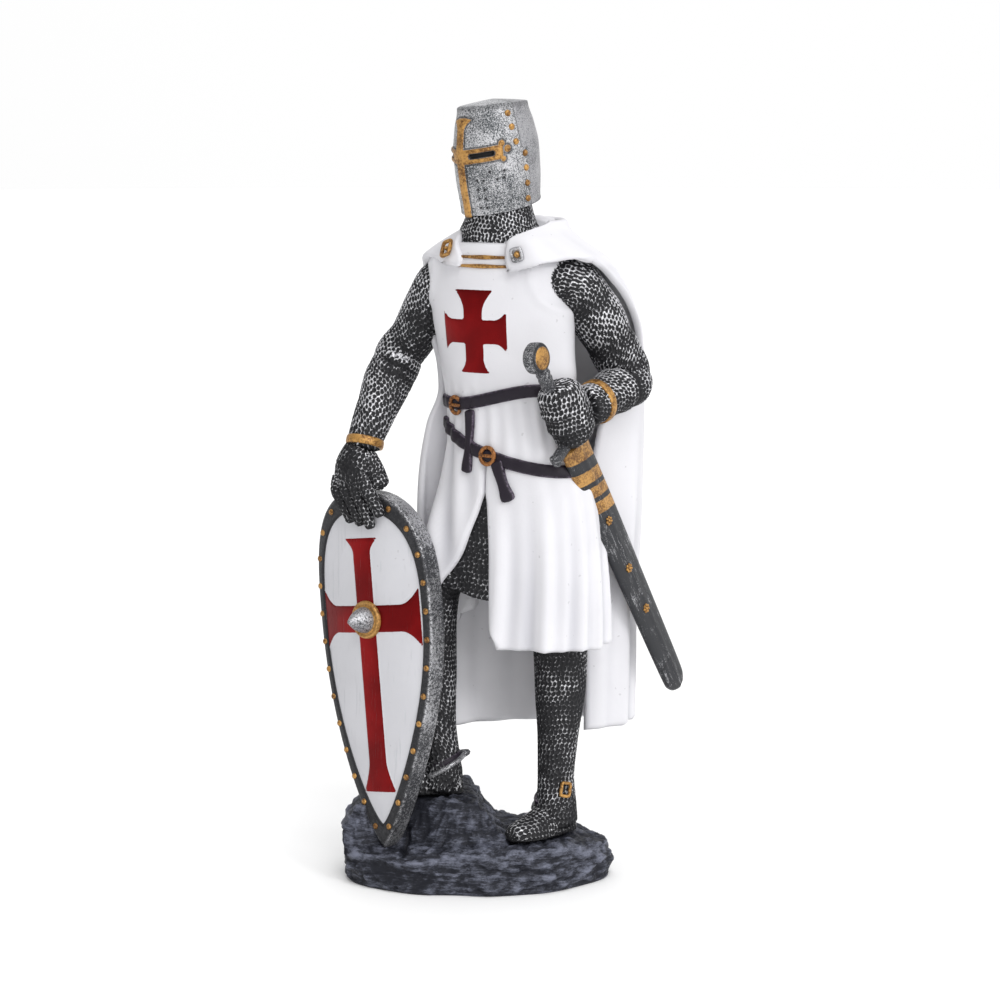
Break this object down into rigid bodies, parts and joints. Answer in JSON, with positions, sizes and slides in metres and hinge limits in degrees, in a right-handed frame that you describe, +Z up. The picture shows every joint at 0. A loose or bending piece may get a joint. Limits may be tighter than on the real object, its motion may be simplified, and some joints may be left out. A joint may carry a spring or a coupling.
{
  "type": "medieval knight statue",
  "caption": "Small painted statue of a helmed medieval knight in surcoat and cloak, standing on a rock with a kite shield and a sheathed sword.",
  "frame": {"origin": "centre of the rock's flat underside, on the surface the statue stands on", "axes": "+Z up through the helm, -Y the way the knight's chest faces, +X his left hand"},
  "size_m": [0.0716, 0.064, 0.1787],
  "materials": {
    "painted_figure": "painted casting resin: satin white cloth, silver mail over black, dark rock, gilt trim",
    "painted_shield": "painted casting resin: white field with a gloss red cross, dark rim with brass rivets",
    "painted_sword": "painted casting resin: silver over black with gilt bands"
  },
  "bodies": {
    "root": {"knight_on_rock": "painted_figure", "shield": "painted_shield", "sword": "painted_sword"}
  },
  "joints": []
}
